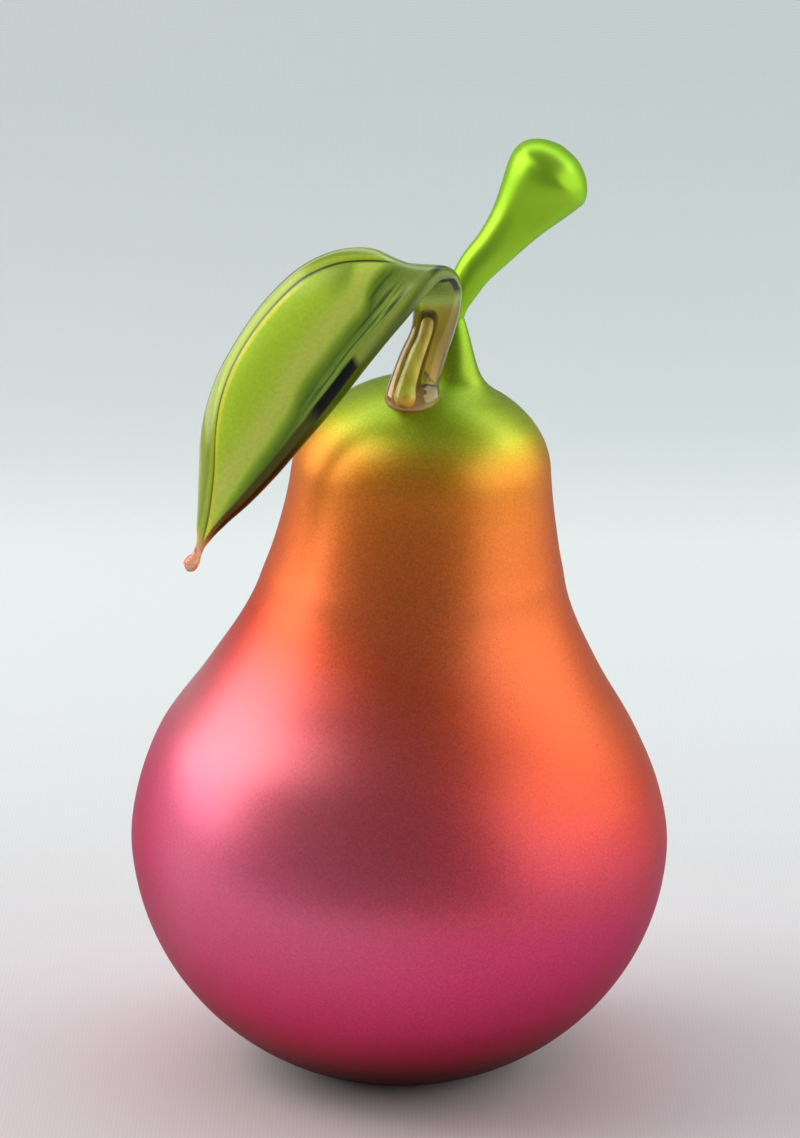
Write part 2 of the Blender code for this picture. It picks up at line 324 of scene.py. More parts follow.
@dataclass(frozen=True)
class SatinLustreGlass:
    """Blown glass with fumed metal lustre over it, etched to satin.

    The lustre reflects like a coloured metal, and the etching blurs what it reflects. Its colour
    runs from lime at the dome through orange and coral to magenta, fine flecked with silver, and
    darkens at the foot in painted shade. The belly carries a milkier haze, which makes its
    highlights pale.
    """

    name: str = "satin_lustre_blown_glass"
    roughness: float = 0.45
    roughness_drift: float = 0.04
    bands: tuple[tuple[float, str], ...] = (  # height in mm, colour
        # the lowest bands darken to the foot in painted shade, where the underside meets the floor
        (0.0, "#4e0000"),
        (8.0, "#8b0329"),
        (15.0, "#c91550"),
        (23.0, "#e1306f"),
        (34.0, "#e6397a"),
        (44.0, "#e64176"),
        (52.0, "#e6496b"),
        (60.0, "#e64c64"),
        (66.0, "#e84c5d"),
        (74.0, "#ea4e51"),
        (82.0, "#ec533f"),
        (90.0, "#ec5b2d"),
        (98.0, "#f16f34"),
        (106.0, "#f1762c"),
        (116.0, "#f17e22"),
        (124.0, "#f18a1c"),
        (128.0, "#ef9816"),
        (130.5, "#e6a316"),
        (132.6, "#deb41a"),
        (134.8, "#d0ca20"),
        (137.0, "#b8c81c"),
        (142.0, "#a2be14"),
        (149.0, "#98c40e"),
        (157.0, "#92cc0c"),
    )
    top_mm: float = 157.0
    tilt: float = 0.55  # the lower bands hang this much lower on the right, per mm
    top_tilt: float = 0.10
    tilt_grows: tuple[float, float] = (0.118, 0.070)  # from the top's tilt to the belly's
    tilt_at_foot: tuple[float, float] = (0.030, 0.068)  # none, full
    drift_mm: float = 3.0  # how far the bands wander
    drift_size_mm: float = 30.0
    fleck_mm: float = 0.45
    grain_mm: float = 0.25
    least_haze: float = 0.28
    most_haze: float = 1.0
    haze: tuple[Mask, ...] = (
        ("Z", 0.098, 0.074),
        ("Z", 0.020, 0.056),
        ("X", 0.020, -0.022),
        ("X", -0.0525, -0.041),
    )

    def build(self) -> bpy.types.Material:
        """Makes the material."""
        material, tree, shader = new_material(self.name)
        place = add_node(tree, "ShaderNodeTexCoord").outputs["Object"]
        axes = add_node(tree, "ShaderNodeSeparateXYZ", links={0: place})
        # Bands tilt over the belly, and lie level at the foot.
        share = add_node(
            tree,
            "ShaderNodeMapRange",
            {"interpolation_type": "SMOOTHSTEP"},
            {
                "From Min": self.tilt_grows[0],
                "From Max": self.tilt_grows[1],
                "To Min": self.top_tilt,
                "To Max": self.tilt,
            },
            {"Value": axes.outputs["Z"]},
        )
        above_foot = masked(tree, axes.outputs, [("Z", *self.tilt_at_foot)])
        aside = add_node(
            tree,
            "ShaderNodeMath",
            {"operation": "MULTIPLY"},
            links={0: axes.outputs["X"], 1: above_foot},
        )
        tilted = add_node(
            tree,
            "ShaderNodeMath",
            {"operation": "MULTIPLY_ADD"},
            links={0: aside.outputs["Value"], 1: share.outputs["Result"], 2: axes.outputs["Z"]},
        )
        drift = add_node(
            tree,
            "ShaderNodeTexNoise",
            values={"Scale": 1 / (self.drift_size_mm * MM), "Detail": 2.0},
            links={"Vector": place},
        )
        height = add_node(
            tree,
            "ShaderNodeMath",
            {"operation": "MULTIPLY_ADD"},
            {1: self.drift_mm * MM},
            {0: drift.outputs["Fac"], 2: tilted.outputs["Value"]},
        )
        share_up = add_node(
            tree,
            "ShaderNodeMapRange",
            values={
                "From Min": self.drift_mm * MM / 2,
                "From Max": self.top_mm * MM + self.drift_mm * MM / 2,
            },
            links={"Value": height.outputs["Value"]},
        )
        colour = add_node(
            tree,
            "ShaderNodeValToRGB",
            links={"Fac": share_up.outputs["Result"]},
            stops=[(up / self.top_mm, code) for up, code in self.bands],
        )
        fleck = add_node(
            tree,
            "ShaderNodeTexNoise",
            values={"Scale": 1 / (self.fleck_mm * MM), "Detail": 3.0, "Roughness": 0.6},
            links={"Vector": place},
        )
        flecks = fleck.outputs["Fac"]
        flecked = toned(tree, colour.outputs["Color"], flecks, (0.3, 0.7), (0.82, 1.15))
        tree.links.new(flecked, shader.inputs["Base Color"])
        shader.inputs["Metallic"].default_value = 0.9
        shader.inputs["Specular Tint"].default_value = linear("#301018")
        rough = add_node(
            tree,
            "ShaderNodeMapRange",
            values={
                "From Min": 0.3,
                "From Max": 0.7,
                "To Min": self.roughness - self.roughness_drift,
                "To Max": self.roughness + self.roughness_drift,
            },
            links={"Value": flecks},
        )
        tree.links.new(rough.outputs["Result"], shader.inputs["Roughness"])
        grain = add_node(
            tree,
            "ShaderNodeTexNoise",
            values={"Scale": 1 / (self.grain_mm * MM), "Detail": 2.0},
            links={"Vector": place},
        )
        bump = add_node(
            tree,
            "ShaderNodeBump",
            values={"Strength": 0.35, "Distance": 0.05 * MM},
            links={"Height": grain.outputs["Fac"]},
        )
        tree.links.new(bump.outputs["Normal"], shader.inputs["Normal"])
        coat = add_node(
            tree,
            "ShaderNodeMapRange",
            values={"To Min": self.least_haze, "To Max": self.most_haze},
            links={"Value": masked(tree, axes.outputs, self.haze)},
        )
        tree.links.new(coat.outputs["Result"], shader.inputs["Coat Weight"])
        shader.inputs["Coat Roughness"].default_value = 0.38
        shader.inputs["Coat IOR"].default_value = 2.0
        return material


@dataclass(frozen=True)
class SatinLimeGlass:
    """Solid drawn glass with the same etched lustre, lime with an olive depth."""

    name: str = "satin_lime_drawn_glass"
    roughness: float = 0.36

    def build(self) -> bpy.types.Material:
        """Makes the material."""
        material, tree, shader = new_material(self.name)
        place = add_node(tree, "ShaderNodeTexCoord").outputs["Object"]
        cloud = add_node(
            tree,
            "ShaderNodeTexNoise",
            values={"Scale": 1 / (9 * MM), "Detail": 2.0},
            links={"Vector": place},
        )
        colour = add_node(
            tree,
            "ShaderNodeValToRGB",
            links={"Fac": cloud.outputs["Fac"]},
            stops=[(0.3, "#9cd62c"), (0.7, "#aade3a")],
        )
        tree.links.new(colour.outputs["Color"], shader.inputs["Base Color"])
        shader.inputs["Metallic"].default_value = 0.6
        shader.inputs["Specular Tint"].default_value = linear("#5c7a3a")
        shader.inputs["Roughness"].default_value = self.roughness
        grain = add_node(
            tree,
            "ShaderNodeTexNoise",
            values={"Scale": 1 / (0.3 * MM), "Detail": 2.0},
            links={"Vector": place},
        )
        bump = add_node(
            tree,
            "ShaderNodeBump",
            values={"Strength": 0.25, "Distance": 0.04 * MM},
            links={"Height": grain.outputs["Fac"]},
        )
        tree.links.new(bump.outputs["Normal"], shader.inputs["Normal"])
        return material


@dataclass(frozen=True)
class Layer:
    """Colours that follow one mark of the leaf, shown where all of its masks are open.

    A mask names a mark, the value at which it is shut and the value at which it is open.
    """

    follows: str
    stops: tuple[tuple[float, str], ...]
    masks: tuple[Mask, ...] = ()


@dataclass(frozen=True)
class CasedLeafGlass:
    """Clear fire-polished glass over a satin green core, blown thin at the rim and the foot.

    The core's colours are laid on the blade itself, and a coat gives the casing's gloss. The
    casing's reflections and shade are painted in: a pale highlight over the middle, dark reflections
    streaked beside the fold, a black reflection on the lower edge, a yellow highlight along the rim,
    dark lines of shade along the rim and the flange and under the arch, and golden highlights on the
    foot. The colours run olive to brown along the lower edge and salmon at the bead. The foot, the
    arch and the bead have no core, and let light through.
    """

    name: str = "cased_green_leaf_glass"
    layers: tuple[Layer, ...] = (  # marks: along 0 to 1, across 0 to 1, and distances in mm
        # painted highlight: the pale stops near the arc; the dark stop beside it is painted shade in
        # the groove
        Layer(
            "from_arc",
            (
                (-6.5, "#b0d04c"),
                (-4.0, "#98bc44"),
                (-2.2, "#6a8e1c"),
                (-0.9, "#90b62c"),
                (-0.1, "#b4d640"),
                (0.8, "#e0fa60"),
                (3.0, "#ecff68"),
                (7.0, "#d4fc3c"),
                (12.0, "#c8f432"),
            ),
        ),
        Layer(  # deeper green between the painted highlight's end and the rim
            "along",
            ((0.30, "#93b23a"), (0.45, "#b4d640")),
            (("from_arc", 4.0, 7.5), ("along", 0.47, 0.41)),
        ),
        Layer(  # dark streaks of painted reflection beside the fold
            "along",
            ((0.30, "#405e20"), (0.60, "#588430")),
            (
                ("reflection_streak", 0.50, 0.64),
                ("from_arc", -0.6, -2.0),
                ("from_edge", 1.6, 2.6),
                ("along", 0.66, 0.52),
                ("along", 0.30, 0.36),
            ),
        ),
        Layer(  # the rim, bent out beyond a thin dark line of painted shade
            "from_rim",
            (
                (-0.5, "#b2d040"),
                (-0.15, "#a4c430"),
                (0.0, "#788c20"),
                (0.30, "#7c9020"),
                (0.55, "#bcda2c"),
                (1.5, "#cce834"),
                (2.2, "#a4bc34"),
            ),
            (("from_rim", -0.5, -0.3),),
        ),
        Layer(  # the painted dark line of shade is deeper where the leaf is bent most
            "along",
            ((0.30, "#3c4c10"), (0.50, "#4c5e14")),
            (("from_rim", -0.15, 0.02), ("from_rim", 0.50, 0.30), ("along", 0.56, 0.46)),
        ),
        Layer(  # painted shade along the outermost edge
            "along",
            ((0.30, "#70842c"), (0.90, "#8c8c2c")),
            (("across", 0.974, 0.990), ("along", 0.32, 0.40)),
        ),
        Layer(  # light caught along the rim
            "along",
            ((0.45, "#f0fc40"), (0.90, "#fcff34")),
            (("from_rim", -1.35, -0.95), ("from_rim", -0.02, -0.25), ("along", 0.46, 0.52)),
        ),
        # the flange: painted shade at its lower edge, and a painted pale highlight above it
        Layer(
            "from_edge",
            (
                (0.0, "#4b6009"),
                (0.5, "#5a740d"),
                (0.9, "#91a522"),
                (1.5, "#b4c654"),
                (2.6, "#a6c24c"),
            ),
            (("from_edge", 2.9, 2.3), ("along", 0.60, 0.52)),
        ),
        Layer(  # olive to brown edge, towards the tip
            "along",
            ((0.50, "#5c6414"), (0.72, "#565410"), (0.84, "#6b4b0d"), (0.92, "#b8863f")),
            (("across", 0.110, 0.085), ("along", 0.50, 0.60)),
        ),
        Layer(  # its shaded underside
            "along",
            ((0.50, "#181a05"), (0.90, "#2c1c05")),
            (("across", 0.034, 0.020), ("along", 0.58, 0.70), ("along", 0.92, 0.86)),
        ),
        Layer(  # black patch: a painted dark reflection on the lower edge
            "along",
            ((0.4, "#060803"), (0.6, "#080a03")),
            (
                ("across", 0.120, 0.098),
                ("across", 0.018, 0.032),
                ("along", 0.450, 0.468),
                ("along", 0.605, 0.560),
            ),
        ),
        Layer(
            "along",
            ((0.915, "#fcc468"), (0.95, "#ffcc90"), (0.965, "#ffb48c"), (1.0, "#ffb890")),
            (("along", 0.90, 0.945),),
        ),
        Layer(  # foot, petiole and arch
            "along",
            (
                (0.0, "#ffb080"),
                (0.03, "#ffc474"),
                (0.06, "#d0a83c"),
                (0.13, "#a68a20"),
                (0.175, "#a8942c"),
                (0.19, "#b8c860"),
                (0.24, "#7f9a34"),
                (0.31, "#8aa63e"),
            ),
            (("along", 0.35, 0.29),),
        ),
        Layer(  # painted golden highlights on the right side of the foot
            "along",
            ((0.0, "#e0c878"), (0.06, "#d8b858")),
            (("across", 0.50, 0.30), ("along", 0.07, 0.04)),
        ),
        Layer(  # painted shade: a dark crescent under the arch's fold
            "along",
            ((0.19, "#0c1814"), (0.30, "#20301c")),
            (
                ("from_edge", 0.2, 0.5),
                ("from_edge", 1.7, 1.1),
                ("along", 0.195, 0.215),
                ("along", 0.285, 0.262),
            ),
        ),
        Layer(  # seeds: tiny bubbles
            "seed",
            ((0.0, "#fbffd8"), (0.02, "#f0ffb0")),
            (("seed", 0.016, 0.010), ("along", 0.30, 0.36)),
        ),
    )
    coat: tuple[tuple[float, tuple[Mask, ...]], ...] = (  # weight, masks
        (0.7, (("across", 0.06, 0.13),)),
        (0.7, (("along", 0.49, 0.43),)),
    )
    clear: tuple[tuple[float, tuple[Mask, ...]], ...] = (  # how clear, masks
        (1.0, (("along", 0.26, 0.17), ("along", -0.01, 0.05))),
        (0.15, (("from_rim", 0.2, 0.7),)),
        (1.0, (("along", 0.93, 0.965),)),
    )
    seed_mm: float = 17.0
    reflection_streaks_along: float = 7.0  # painted reflection streaks some 12 mm long
    reflection_streaks_across: float = 1.4
    mottle_mm: float = 0.7

    def marks(self, tree: bpy.types.NodeTree) -> Marks:
        """Adds the values that the layers follow.

        Args:
            tree: The material's tree.

        Returns:
            The sockets by name.
        """
        way = add_node(tree, "ShaderNodeUVMap", {"uv_map": ALONG_ACROSS})
        axes = add_node(tree, "ShaderNodeSeparateXYZ", links={0: way.outputs["UV"]})
        found = {"along": axes.outputs["X"], "across": axes.outputs["Y"]}
        for name in ("from_arc", "from_rim", "from_edge"):
            node = add_node(tree, "ShaderNodeAttribute", {"attribute_name": name})
            found[name] = node.outputs["Fac"]
        drawn = add_node(
            tree,
            "ShaderNodeMapping",
            values={"Scale": (self.reflection_streaks_along, 1.0, 1.0)},
            links={
                "Vector": add_node(
                    tree,
                    "ShaderNodeCombineXYZ",
                    links={"X": found["along"], "Y": found["from_edge"]},
                ).outputs["Vector"]
            },
        )
        reflection_streak = add_node(
            tree,
            "ShaderNodeTexNoise",
            values={"Scale": self.reflection_streaks_across, "Detail": 2.0},
            links={"Vector": drawn.outputs["Vector"]},
        )
        place = add_node(tree, "ShaderNodeTexCoord").outputs["Object"]
        seed = add_node(
            tree,
            "ShaderNodeTexVoronoi",
            values={"Scale": 1 / (self.seed_mm * MM)},
            links={"Vector": place},
        )
        return found | {"reflection_streak": reflection_streak.outputs["Fac"], "seed": seed.outputs["Distance"]}

    def greatest(
        self,
        tree: bpy.types.NodeTree,
        marks: Marks,
        parts: Sequence[tuple[float, Sequence[Mask]]],
    ) -> bpy.types.NodeSocket:
        """Takes the greatest of several masked shares.

        Args:
            tree: The material's tree.
            marks: The values that masks follow.
            parts: Each one's share and its masks.

        Returns:
            The result's socket.
        """
        result = None
        for most, masks in parts:
            part = masked(tree, marks, masks, most)
            result = part if result is None else add_node(
                tree, "ShaderNodeMath", {"operation": "MAXIMUM"}, links={0: result, 1: part}
            ).outputs["Value"]
        return result

    def painted(self, tree: bpy.types.NodeTree, marks: Marks) -> bpy.types.NodeSocket:
        """Lays the layers over each other.

        Args:
            tree: The material's tree.
            marks: The values that layers follow.

        Returns:
            The colour's socket.
        """
        colour = None
        for layer in self.layers:
            low, high = layer.stops[0][0], layer.stops[-1][0]
            share = add_node(
                tree,
                "ShaderNodeMapRange",
                values={"From Min": low, "From Max": high},
                links={"Value": marks[layer.follows]},
            )
            above = add_node(
                tree,
                "ShaderNodeValToRGB",
                links={"Fac": share.outputs["Result"]},
                stops=[((place - low) / (high - low), code) for place, code in layer.stops],
            ).outputs["Color"]
            mask = masked(tree, marks, layer.masks)
            colour = above if mask is None else add_node(
                tree,
                "ShaderNodeMix",
                {"data_type": "RGBA"},
                links={"Factor": mask, 6: colour, 7: above},
            ).outputs[2]
        return colour

    def build(self) -> bpy.types.Material:
        """Makes the material."""
        material, tree, shader = new_material(self.name)
        marks = self.marks(tree)
        place = add_node(tree, "ShaderNodeTexCoord").outputs["Object"]
        cloud = add_node(
            tree,
            "ShaderNodeTexNoise",
            values={"Scale": 1 / (self.mottle_mm * MM), "Detail": 3.0},
            links={"Vector": place},
        )
        painted = self.painted(tree, marks)
        mottled = toned(tree, painted, cloud.outputs["Fac"], (0.3, 0.7), (0.94, 1.05))
        tree.links.new(mottled, shader.inputs["Base Color"])
        clear = self.greatest(tree, marks, self.clear)
        tree.links.new(clear, shader.inputs["Transmission Weight"])
        coat = self.greatest(tree, marks, self.coat)
        tree.links.new(coat, shader.inputs["Coat Weight"])
        polish = add_node(
            tree,
            "ShaderNodeMapRange",
            values={"From Max": 0.6, "To Min": 0.42, "To Max": 0.03},
            links={"Value": clear},
        )
        tree.links.new(polish.outputs["Result"], shader.inputs["Roughness"])
        shader.inputs["IOR"].default_value = 1.5
        shader.inputs["Metallic"].default_value = 0.12
        shader.inputs["Specular IOR Level"].default_value = 0.3
        shader.inputs["Coat Roughness"].default_value = 0.12
        return material


@dataclass(frozen=True)
class GoldCoreGlass:
    """The petiole's core: amber glass with gold lustre in it, drawn into streaks.

    It lets a little light through, and its streaks stand out as faint ridges.
    """

    name: str = "gold_lustre_core_glass"

    def build(self) -> bpy.types.Material:
        """Makes the material."""
        material, tree, shader = new_material(self.name)
        place = add_node(tree, "ShaderNodeTexCoord").outputs["Object"]
        way = add_node(tree, "ShaderNodeUVMap", {"uv_map": ALONG_ACROSS})
        along = add_node(tree, "ShaderNodeSeparateXYZ", links={0: way.outputs["UV"]}).outputs["X"]
        # the yellow-green stops near the foot paint a bright pool of light in the core
        colour = add_node(
            tree,
            "ShaderNodeValToRGB",
            links={"Fac": along},
            stops=[
                (0.0, "#ffa858"),
                (0.12, "#ffcc44"),
                (0.22, "#fcff40"),
                (0.34, "#fff248"),
                (0.50, "#fff060"),
                (0.80, "#ffe658"),
                (1.0, "#f0b840"),
            ],
        )
        stretch = add_node(
            tree,
            "ShaderNodeMapping",
            {"vector_type": "POINT"},
            {"Scale": (1 / (1.6 * MM), 1 / (1.6 * MM), 1 / (6 * MM))},
            {"Vector": place},
        )
        streaks = add_node(
            tree,
            "ShaderNodeTexNoise",
            values={"Scale": 1.0, "Detail": 1.0},
            links={"Vector": stretch.outputs["Vector"]},
        )
        drawn = streaks.outputs["Fac"]
        streaked = toned(tree, colour.outputs["Color"], drawn, (0.35, 0.65), (0.70, 1.15))
        tree.links.new(streaked, shader.inputs["Base Color"])
        bump = add_node(
            tree,
            "ShaderNodeBump",
            values={"Strength": 0.4, "Distance": 0.3 * MM},
            links={"Height": drawn},
        )
        tree.links.new(bump.outputs["Normal"], shader.inputs["Normal"])
        shader.inputs["Transmission Weight"].default_value = 0.2
        shader.inputs["Roughness"].default_value = 0.3
        shader.inputs["Specular IOR Level"].default_value = 0.25
        shader.inputs["Coat Weight"].default_value = 0.6
        shader.inputs["Coat Roughness"].default_value = 0.05
        return material


@dataclass
class BlownBody:
    """The blown pear, from its foot to the spur that carries the stem."""

    belly_radius: float = 0.0545
    belly_height: float = 0.0484
    underside_depth: float = 0.0515
    flank: tuple[Row, ...] = (  # height, radius
        (0.057, 0.0531),
        (0.069, 0.0486),
        (0.083, 0.0397),
        (0.097, 0.0321),
        (0.111, 0.0281),
    )
    dome_radius: float = 0.0260
    dome_foot: float = 0.123
    dome_rise: float = 0.0202
    centre_line: tuple[Row, ...] = (  # height, shift to the right
        (0.0, 0.0),
        (0.045, -0.0001),
        (0.059, -0.0004),
        (0.071, -0.0006),
        (0.083, 0.0004),
        (0.097, 0.0019),
        (0.111, 0.0033),
        (0.125, 0.0042),
        (0.143, 0.0043),
    )
    spur_shift: float = 0.0064
    spur_shift_starts: float = 0.020
    spur_shift_ends: float = 0.006
    spur_level: float = 0.008
    spur: tuple[Row, ...] = (  # radius, height above the dome
        (0.0120, 0.0),
        (0.0095, 0.00015),
        (0.0073, 0.0006),
        (0.0058, 0.0014),
        (0.0048, 0.0029),
        (0.0041, 0.0047),
        (0.0035, 0.0068),
        (0.0029, 0.0091),
        (0.0023, 0.0111),
        (0.0020, 0.0123),
    )
    ripple: float = 0.00018  # a faint tool mark round the neck
    ripple_height: float = 0.1035
    ripple_reach: float = 0.0022
    underside_spans: int = 8
    dome_spans: int = 8
    step: float = 0.0022
    foot_rings: tuple[float, float] = (0.8, 0.97)  # shares of the foot's radius
    cap_rise: float = 0.0002
    cap_share: float = 0.7  # of the spur's last radius
    sides: int = 64
    levels: int = 2
    finish: SatinLustreGlass = field(default_factory=SatinLustreGlass)

    def dome_height(self, distance: float) -> float:
        """Gives the dome's height that far from its axis."""
        share = max(1 - (distance / self.dome_radius) ** 2, 0.0)
        return self.dome_foot + self.dome_rise * math.sqrt(share)

    def outline(self) -> np.ndarray:
        """Gives the turned outline from the foot to the spur's top, as radius and height."""
        foot_angle = math.asin(-self.belly_height / self.underside_depth)
        points = []
        for angle in np.linspace(foot_angle, 0.0, self.underside_spans + 1):
            height = self.belly_height + self.underside_depth * math.sin(angle)
            points.append((self.belly_radius * math.cos(angle), height))
        points += [(radius, height) for height, radius in self.flank]
        last_angle = math.acos(self.spur[0][0] / self.dome_radius)
        for angle in np.linspace(0.0, last_angle, self.dome_spans, endpoint=False):
            distance = self.dome_radius * math.cos(angle)
            points.append((distance, self.dome_height(distance)))
        points += [(radius, self.dome_height(radius) + rise) for radius, rise in self.spur]
        return smooth_line(points, self.step, 2)

    def ring(self, radius: float, height: float, line: np.ndarray) -> Ring:
        """Places one turned ring on the leaning body, and the spur's off the dome's axis.

        Args:
            radius: The ring's radius.
            height: Its height before the spur is drawn aside.
            line: The centre line's heights and shifts.

        Returns:
            The placed ring.
        """
        lean_x = float(np.interp(height, *line.T))
        offset = (height - self.ripple_height) / self.ripple_reach
        radius += self.ripple * math.exp(-offset * offset)
        if height <= self.dome_foot or radius >= self.spur_shift_starts:
            return Ring(lean_x, height, radius)
        rise = height - self.dome_height(radius)
        share = (self.spur_shift_starts - radius) / (self.spur_shift_starts - self.spur_shift_ends)
        aside = self.spur_shift * eased(share)
        level = eased(rise / self.spur_level)
        near, far = self.dome_height(abs(radius - aside)), self.dome_height(radius + aside)
        middle = (near + far) / 2 * (1 - level) + self.dome_height(self.spur_shift) * level
        slope = (near - far) / (2 * radius) * (1 - level)
        return Ring(lean_x + aside, rise + middle, radius, math.atan(slope))

    def build(self) -> bpy.types.Object:
        """Models and dresses the body."""
        line = smooth_line(self.centre_line, self.step, 1)
        rings = [self.ring(radius, height, line) for radius, height in self.outline()]
        foot = rings[0]
        underside = [Ring(foot.x, foot.z, foot.radius * share) for share in self.foot_rings]
        top = rings[-1]
        cap = Ring(top.x, top.z + self.cap_rise, top.radius * self.cap_share)
        rings = [*underside, *rings, cap]
        piece = model_from_rings("blown_body", rings, self.sides, self.levels)
        dress(piece, self.finish.build(), Slot.BODY, "body")
        return piece


@dataclass
class FlaredStem:
    """The stem, from the crease at the spur to its rounded end."""

    line: tuple[Row, ...] = (  # right, back, up, radius
        (0.0107, 0.0, 0.1526, 0.0013),
        (0.0107, 0.0, 0.1540, 0.0017),
        (0.01075, 0.0, 0.1554, 0.00205),
        (0.0109, 0.0, 0.1567, 0.0021),
        (0.0120, 0.0, 0.1595, 0.0028),
        (0.0142, 0.0, 0.1640, 0.0036),
        (0.0190, 0.0, 0.1695, 0.0043),
        (0.0226, 0.0, 0.1741, 0.0054),
        (0.0260, 0.0, 0.1788, 0.0073),
        (0.0277, 0.0, 0.1812, 0.0083),
        (0.0292, 0.0, 0.1833, 0.0089),
    )
    cap_length: float = 0.0062  # from the widest ring to the end
    cap_lean: float = 42.0
    cap_spans: int = 6
    cap_last: float = 85.0  # the cap's elliptic arc stops just short of its pole
    step: float = 0.0010
    sides: int = 40
    levels: int = 2
    relax: int = 5
    finish: SatinLimeGlass = field(default_factory=SatinLimeGlass)

    def cap(self) -> list[Row]:
        """Gives the rows of the rounded end, half an ellipse on the line's last and widest row."""
        right, back, up, radius = self.line[-1]
        lean = math.radians(self.cap_lean)
        rows = []
        for angle in np.linspace(0.0, math.radians(self.cap_last), self.cap_spans + 1)[1:]:
            away = self.cap_length * math.sin(angle)
            x, z = right + away * math.sin(lean), up + away * math.cos(lean)
            rows.append((x, back, z, radius * math.cos(angle)))
        return rows

    def build(self) -> bpy.types.Object:
        """Models and dresses the stem."""
        line = smooth_line([*self.line, *self.cap()], self.step, 3)
        along = np.gradient(line, axis=0)
        rings = [
            Ring(x, z, radius, math.atan2(run, climb))
            for (x, _, z, radius), (run, _, climb, _) in zip(line, along)
        ]
        piece = model_from_rings("flared_stem", rings, self.sides, self.levels, self.relax)
        dress(piece, self.finish.build(), Slot.STEM, "stem")
        return piece


